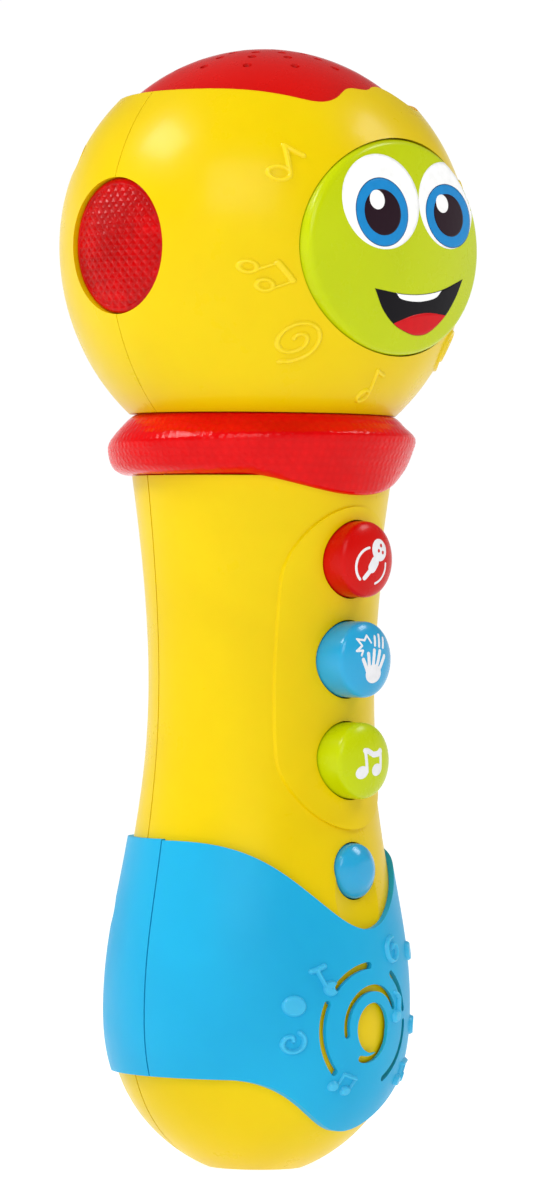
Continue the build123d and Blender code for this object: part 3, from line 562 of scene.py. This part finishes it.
LIP = [(-9.0, -8.4), (-2.0, -9.1), (4.0, -8.95), (9.9, -7.95), (17.3, -5.6)]
CHIN = [(-9.0, -8.4), (-6.6, -12.0), (-3.2, -14.7), (0.2, -16.0), (3.7, -16.6), (7.4, -15.9),
        (12.0, -12.8), (15.2, -9.1), (17.3, -5.6)]
TEETH = [(-3.4, -9.0), (-2.3, -9.95), (1.3, -10.4), (5.1, -10.15), (8.5, -9.3), (9.9, -8.1)]
TONGUE = [(-3.2, -14.6), (-1.2, -13.9), (2.3, -12.85), (6.5, -12.3), (12.2, -12.5)]


def lip(x):
    """Height of the upper lip."""
    return FACE_Z + through(LIP, x)


def chin(x):
    """Height of the lower lip."""
    return FACE_Z + through(CHIN, x)


printed_band("mouth", chin, lip, (LIP[0][0], LIP[-1][0]), face_skin, "toy", BLACK_INK, 0.05,
             columns=110)
printed_band("teeth", lambda x: FACE_Z + through(TEETH, x), lambda x: lip(x) - 0.1,
             (TEETH[0][0], TEETH[-1][0]), face_skin, "toy", WHITE_INK, 0.09, rows=5)
printed_band("tongue", lambda x: chin(x) + 0.05,
             lambda x: max(FACE_Z + through(TONGUE, x), chin(x) + 0.06),
             (TONGUE[0][0], TONGUE[-1][0]), face_skin, "toy", TONGUE_INK, 0.09, rows=6)

# ---------------------------------------------------------------- marks moulded on the skirt
skirt_skin = skin_of("skirt_front")
left_curl = curl(0.94, 0.35, 2.05, 80, ease=0.35)
right_curl = curl(1.05, 0.4, 2.4, 108, way=-1, ease=0.4)
SKIRT_MARKS = [
    ("mark_disc_left", (-16.3, 4.2), 2.6, lambda u, v: disc(u, v, 0, 0, 1.95)),
    ("mark_curl_left", (-16.4, -2.5), 3.4, lambda u, v: strip(u, v, left_curl, 0.95)),
    ("mark_note_left", (-9.75, 7.4), 6.2,
     lambda u, v: union(oval(u, v, 0, 0, 1.55, 1.45, 20), bar(u, v, (-1.0, 0.4), (-2.5, 3.4), 0.9),
                        strip(u, v, [(-3.5, 3.1), (-2.5, 3.4), (-1.1, 4.1)], 1.05))),
    ("mark_pair_low", (-5.5, -10.1), 4.4,
     lambda u, v: beamed_pair(*[w / 0.88 for w in turned(u, v, -25)]) * 0.88),
    ("mark_curl_right", (7.2, 13.9), 3.3, lambda u, v: strip(u, v, right_curl, 0.9)),
    ("mark_note_right", (7.7, 1.6), 5.2,
     lambda u, v: union(oval(u, v, 0, 0, 1.3, 1.2, 20), bar(u, v, (1.0, 0.2), (1.1, 3.5), 0.75),
                        strip(u, v, [(1.1, 3.5), (0.2, 4.3), (-0.5, 4.5)], 0.8))),
    ("mark_disc_high", (16.4, 13.3), 2.6, lambda u, v: disc(u, v, 0, 0, 1.9)),
    ("mark_disc_right", (18.2, -0.6), 2.6, lambda u, v: disc(u, v, 0, 0, 1.9)),
    ("mark_pair_right", (14.6, -9.0), 4.6, lambda u, v: beamed_pair(u, v)),
]
# The skirt's marks take the lighter blue, a painted highlight.
for name, (x, z), reach, shape in SKIRT_MARKS:
    raised(name, shape, (x, 0, GRILLE_Z + z), reach, skirt_skin, "toy", BLUE_MARK_PAINTED_HIGHLIGHT, rise=0.7,
           shoulder=0.45, step=0.1)

# ---------------------------------------------------------------- marks moulded on the head
head_skin = skin_of("head_front_shell")


def rimmed(shape, width=0.55):
    """A shape drawn as a raised rim only."""
    return lambda u, v: np.abs(shape(u, v) + width / 2) - width / 2


big_curl = curl(1.7, 0.5, 4.0, 150, way=-1)
HEAD_MARKS = [
    ("mark_head_note", (-25.6, 11.4), 8.0,
     rimmed(lambda u, v: quaver(*[w / 1.35 for w in turned(u, v, -8)]) * 1.35, 0.75)),
    ("mark_head_pair", (-27.6, -6.7), 6.0,
     rimmed(lambda u, v: beamed_pair(*[w / 1.15 for w in turned(u, v, -62)]) * 1.15, 0.75)),
    ("mark_head_curl", (-21.2, -18.9), 5.0, lambda u, v: strip(u, v, big_curl, 0.75)),
    ("mark_head_low_note", (-3.6, -28.6), 6.0,
     rimmed(lambda u, v: quaver(*[w / 1.1 for w in turned(u, v, 12)]) * 1.1, 0.75)),
    ("mark_head_note_far", (25.6, 11.4), 8.0,
     rimmed(lambda u, v: quaver(*[w / 1.35 for w in turned(u, v, 8)]) * 1.35, 0.75)),
    ("mark_head_curl_far", (20.8, -19.0), 5.0, lambda u, v: strip(-u, v, big_curl, 0.75)),
]
# The head's marks take the lighter yellow, a painted highlight.
for name, (x, z), reach, shape in HEAD_MARKS:
    raised(name, shape, (x, 0, HEAD_Z + z), reach, head_skin, "toy", YELLOW_MARK_PAINTED_HIGHLIGHT, rise=0.45,
           shoulder=0.32, step=0.13)

# ---------------------------------------------------------------- icons printed on the buttons
def arc(cu, cv, ru, rv, first, last):
    """Points along part of an ellipse, angles in degrees."""
    return [(cu + ru * math.cos(t), cv + rv * math.sin(t))
            for t in np.radians(np.linspace(first, last, 20))]


def hand_mic(u, v):
    """Small hand microphone inside two arcs."""
    head = disc(u, v, 1.15, 1.75, 2.1)
    dots = union(disc(u, v, 1.7, 2.6, 0.36), disc(u, v, 0.9, 1.6, 0.34), disc(u, v, 2.1, 1.3, 0.34))
    head = np.maximum(head, -dots)
    grip = union(bar(u, v, (-0.2, -0.5), (-0.9, -1.5), 2.1), bar(u, v, (-0.9, -1.5), (-2.5, -3.4), 1.0))
    left = strip(u, v, arc(-1.0, -1.2, 3.7, 3.4, 100, 228), 0.5)
    right = strip(u, v, arc(-0.6, -1.2, 3.6, 3.4, 8, -72), 0.5)
    return union(head, grip, left, right)


def clapping(u, v):
    """Two clapping hands with a spark."""
    palm = oval(u, v, 0.0, -2.6, 2.1, 1.75)
    tips = ((-1.6, 1.1), (0.0, 1.75), (1.6, 1.6), (2.95, 0.7))
    fingers = [bar(u, v, (-1.3 + 0.9 * k, -1.9), tip, 0.8) for k, tip in enumerate(tips)]
    thumb = bar(u, v, (-1.6, -2.4), (-2.9, 0.0), 0.8)
    back = [bar(u, v, (0.3 + 1.2 * k, 2.7 - 0.2 * k), tip, 0.6)
            for k, tip in enumerate(((0.6, 4.3), (1.9, 4.6), (3.2, 4.0)))]
    spark = strip(u, v, [(-0.7, 3.2), (-1.5, 4.5), (-2.3, 3.6), (-3.9, 3.8), (-3.0, 2.6), (-4.3, 1.6),
                         (-2.9, 1.7), (-3.3, 0.8)], 0.42)
    return union(palm, *fingers, thumb, *back, spark)


def note_pair(u, v):
    """Two notes under a wavy beam."""
    stems = union(bar(u, v, (-1.4, -2.0), (-1.9, 1.9), 0.75), bar(u, v, (2.4, -1.4), (2.4, 1.9), 0.75))
    beam = strip(u, v, [(-1.9, 1.9), (-1.2, 1.9), (0.3, 1.2), (1.7, 1.4), (2.4, 1.9)], 1.1)
    return union(oval(u, v, -2.6, -2.1, 1.45, 1.2, 15), oval(u, v, 1.3, -1.6, 1.4, 1.15, 15), stems, beam)


for song, shape in (("record", hand_mic), ("clap", clapping), ("music", note_pair)):
    node = f"{song}_button"
    raised(f"print_{song}", shape, (0, 0, middle_height(node)), 5.4, skin_of(node), node, PALE_INK,
           rise=0.06, shoulder=0.06, step=0.09)


# ---------------------------------------------------------------- silicone domes
def press_dome(song):
    """Silicone dome, turned about its button's axis."""
    node = f"{song}_dome"
    low, high = (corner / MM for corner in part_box(node))
    front, rear, height = low.y, high.y, (low.z + high.z) / 2
    profile = [(2.6, front), (2.9, front + 0.5), (3.9, rear - 0.75), (5.0, rear - 0.75), (5.0, rear),
               (3.3, rear), (2.5, front + 1.0), (1.6, front + 1.0), (1.6, front + 1.4)]
    around = 64
    points = [(0, front, height)]
    for radius, y in profile:
        for k in range(around):
            angle = 2 * math.pi * k / around
            points.append((radius * math.cos(angle), y, height + radius * math.sin(angle)))
    points.append((0, front + 1.4, height))
    faces = [(0, 1 + k, 1 + (k + 1) % around) for k in range(around)]
    for ring in range(len(profile) - 1):
        for k in range(around):
            a = 1 + ring * around + k
            b = 1 + ring * around + (k + 1) % around
            faces.append((a, a + around, b + around, b))
    rim = 1 + (len(profile) - 1) * around
    faces.extend((len(points) - 1, rim + (k + 1) % around, rim + k) for k in range(around))
    piece = new_piece(f"soft_{node}", points, faces, "toy", SILICONE)
    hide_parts(node)
    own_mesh(piece)


for song in ("record", "clap", "music", "power"):
    press_dome(song)


# ---------------------------------------------------------------- side lenses
def prism_lens(name, node):
    """Faceted lens in a smooth rim: small pyramids over the dome that the CAD lens has."""
    skin = skin_of(node)
    mesh = nodes[node].data
    mean = sum((v.co for v in mesh.vertices), Vector()) / len(mesh.vertices) / MM
    out = Vector((mean.x, mean.y, 0)).normalized()
    across = Vector((-out.y, out.x, 0))
    radius, border, pitch, depth = 12.42, 0.9, 2.0, 0.38
    rings, around = 84, 300
    points = []
    for ring in range(rings + 3):
        reach = radius * min(ring, rings) / rings
        for k in range(around):
            angle = 2 * math.pi * k / around
            u, v = reach * math.cos(angle), reach * math.sin(angle)
            start = across * u + Vector((0, 0, LENS_Z + v)) + out * AWAY
            place, normal = drop(skin, start, -out)
            a = abs((u + v) / pitch % 1 - 0.5)
            b = abs((u - v) / pitch % 1 - 0.5)
            sink = depth * 2 * max(a, b)
            edge = min(max((radius - border - reach) / 0.25, 0.0), 1.0)
            round_over = 0.25 * max(0.0, (reach - radius + 0.3) / 0.3) ** 2
            lower = 0.10 + sink * edge + round_over
            if ring > rings:
                lower = 0.4 + 1.3 * (ring - rings)
            points.append(place - out * lower)
            if ring == 0:
                break
    faces = [(0, 1 + k, 1 + (k + 1) % around) for k in range(around)]
    for ring in range(rings + 1):
        for k in range(around):
            a = 1 + ring * around + k
            b = 1 + ring * around + (k + 1) % around
            faces.append((a, a + around, b + around, b))
    last = 1 + (rings + 1) * around
    faces.append([last + k for k in reversed(range(around))])
    piece = new_piece(name, points, faces, "toy", LENS)
    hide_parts(node)


prism_lens("prism_lens_left", "side_lens_left")
prism_lens("prism_lens_right", "side_lens_right")


# ---------------------------------------------------------------- light collar
def collar_profile(angle):
    """Collar's outline as (radius, height) points, top to bottom, at an angle from the front."""
    off = abs((angle + 180) % 360 - 180)
    front = (0.5 + 0.5 * math.cos(math.radians(off))) ** 1.5
    lobe = (0.5 + 0.5 * math.cos(math.pi * min(off / 55.0, 1.0))) ** 0.6
    low = 129.65 - 3.6 * lobe
    rear_shape = [(22.0, 140.9), (24.0, 140.95), (26.6, 138.6), (28.8, 135.6), (28.95, 133.3),
                  (28.1, 131.0), (26.2, 129.75), (23.7, 129.7)]
    front_shape = [(22.0, 140.9), (25.0, 140.95), (26.8, 139.4), (28.85, 137.3), (28.2, 134.6),
                   (26.8, 131.4), (25.2, low + 0.7), (23.6, low)]
    return [(a + (c - a) * front, b + (d - b) * front)
            for (a, b), (c, d) in zip(rear_shape, front_shape)]


def along(points, part):
    """Point on a smooth curve through points, part running from 0 to 1."""
    reach = part * (len(points) - 1)
    k = min(int(reach), len(points) - 2)
    t = reach - k
    four = [points[max(k - 1, 0)], points[k], points[k + 1], points[min(k + 2, len(points) - 1)]]
    weights = (-0.5 * t + t * t - 0.5 * t ** 3, 1 - 2.5 * t * t + 1.5 * t ** 3,
               0.5 * t + 2 * t * t - 1.5 * t ** 3, -0.5 * t * t + 0.5 * t ** 3)
    return tuple(sum(w * p[axis] for w, p in zip(weights, four)) for axis in (0, 1))


def light_ring():
    """Soft-edged translucent ring with a lobe over the song buttons and shallow prism facets."""
    around, tall = 620, 100
    points = []
    for k in range(around):
        angle = 360.0 * k / around
        profile = collar_profile(angle)
        out = Vector((math.sin(math.radians(angle)), -math.cos(math.radians(angle)), 0))
        arc = math.radians(angle) * 27.7
        for j in range(tall + 1):
            radius, z = along(profile, j / tall)
            outer = min(max((radius - 25.0) / 1.5, 0.0), 1.0)
            a = abs((arc + z) / 1.45 % 1 - 0.5)
            b = abs((arc - z) / 1.45 % 1 - 0.5)
            points.append(out * (radius - 0.16 * max(a, b) * outer) + Vector((0, 0, z)))
    faces = []
    for k in range(around):
        for j in range(tall):
            a = k * (tall + 1) + j
            b = ((k + 1) % around) * (tall + 1) + j
            faces.append((a, a + 1, b + 1, b))
        a = k * (tall + 1)
        b = ((k + 1) % around) * (tall + 1)
        faces.append((a, b, b + tall, a + tall))
    piece = new_piece("light_ring", points, faces, "toy", COLLAR)
    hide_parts("light_collar")


light_ring()

# ---------------------------------------------------------------- shade the kept CAD nodes softly
def soft_shade(owner):
    """Smooth shading that keeps the moulded edges crisp."""
    weld = owner.modifiers.new("weld", "WELD")
    weld.merge_threshold = 0.000002
    split = owner.modifiers.new("edges", "EDGE_SPLIT")
    split.split_angle = math.radians(22)


for owner in nodes.values():
    soft_shade(owner)


# ---------------------------------------------------------------- floor, light and camera
def make_floor():
    """Plain pale floor."""
    size = 60.0
    mesh = bpy.data.meshes.new("floor")
    corners = [(-size, -size, 0), (size, -size, 0), (size, size, 0), (-size, size, 0)]
    mesh.from_pydata(corners, [], [(0, 1, 2, 3)])
    floor = bpy.data.objects.new("floor", mesh)
    bpy.context.scene.collection.objects.link(floor)
    material = bpy.data.materials.new("pale_floor")
    material.use_nodes = True
    shader, node, link = socket_names(material.node_tree)
    place = node("ShaderNodeTexCoord")
    mottle = node("ShaderNodeTexNoise")
    mottle.inputs["Scale"].default_value = 6.0
    link(place.outputs["Object"], mottle.inputs["Vector"])
    ramp = node("ShaderNodeValToRGB")
    ramp.color_ramp.elements[0].color = (0.34, 0.34, 0.34, 1)
    ramp.color_ramp.elements[1].color = (0.36, 0.36, 0.36, 1)
    link(mottle.outputs["Fac"], ramp.inputs["Fac"])
    link(ramp.outputs["Color"], shader.inputs["Base Color"])
    shader.inputs["Roughness"].default_value = 0.7
    shader.inputs["Specular IOR Level"].default_value = 0.0
    shader.inputs["Emission Color"].default_value = (1, 1, 1, 1)
    shader.inputs["Emission Strength"].default_value = 0.95
    mesh.materials.append(material)


CAMERA_AZIMUTH = -48.5
CAMERA_DISTANCE = 1.25
CAMERA_HEIGHT = 0.1065
CAMERA_SIDE = 0.0031          # the object stands this far left of the picture's middle
CAMERA_ROLL = 0.57
VIEW_HEIGHT = 0.2258
SENSOR = 36.0

azimuth = math.radians(CAMERA_AZIMUTH)
back = Vector((math.sin(azimuth), -math.cos(azimuth), 0))
right = Vector((math.cos(azimuth), math.sin(azimuth), 0))
up = Vector((0, 0, 1))


def make_camera():
    """Camera at the viewing angle, level, with a long lens."""
    data = bpy.data.cameras.new("camera")
    data.sensor_width = SENSOR
    data.lens = SENSOR * CAMERA_DISTANCE / VIEW_HEIGHT
    camera = bpy.data.objects.new("camera", data)
    bpy.context.scene.collection.objects.link(camera)
    target = right * CAMERA_SIDE + up * CAMERA_HEIGHT
    roll = math.radians(CAMERA_ROLL)
    x_axis = right * math.cos(roll) + up * math.sin(roll)
    y_axis = up * math.cos(roll) - right * math.sin(roll)
    turn = Matrix((x_axis, y_axis, back)).transposed().to_4x4()
    camera.matrix_world = Matrix.Translation(target + back * CAMERA_DISTANCE) @ turn
    data.clip_start = 0.05
    data.clip_end = 20
    bpy.context.scene.camera = camera


def softbox(name, side, height, depth, size, power, aim=(0, 0, 0.12)):
    """Square area light placed in the camera's own directions: side, up and towards the camera."""
    data = bpy.data.lights.new(name, "AREA")
    data.shape = "RECTANGLE"
    data.size, data.size_y = size
    data.energy = power
    light = bpy.data.objects.new(name, data)
    bpy.context.scene.collection.objects.link(light)
    place = right * side + up * height + back * depth
    light.location = place
    light.rotation_mode = "QUATERNION"
    light.rotation_quaternion = (Vector(aim) - place).to_track_quat("-Z", "Y")


def make_light():
    """White studio: bright even surround, a key softbox at upper left, a fill at upper right."""
    world = bpy.data.worlds.new("studio")
    world.use_nodes = True
    background = world.node_tree.nodes["Background"]
    background.inputs["Color"].default_value = (1, 1, 1, 1)
    node, link = world.node_tree.nodes.new, world.node_tree.links.new
    place = node("ShaderNodeTexCoord")
    split = node("ShaderNodeSeparateXYZ")
    link(place.outputs["Generated"], split.inputs["Vector"])
    dome = node("ShaderNodeMapRange")
    dome.interpolation_type = "SMOOTHSTEP"
    dome.inputs["From Min"].default_value = 0.11
    dome.inputs["From Max"].default_value = 0.35
    dome.inputs["To Min"].default_value = 1.02
    dome.inputs["To Max"].default_value = 0.25
    link(split.outputs["Z"], dome.inputs["Value"])
    link(dome.outputs["Result"], background.inputs["Strength"])
    bpy.context.scene.world = world
    softbox("key", -0.80, 1.00, 0.10, (0.50, 0.30), 7.0)
    softbox("rim", 0.75, 0.95, -0.10, (0.35, 0.30), 3.5)
    softbox("front", -0.25, 0.75, 1.00, (0.80, 0.60), 6.5)


make_floor()
make_light()
make_camera()
bpy.context.scene.view_settings.view_transform = "Standard"
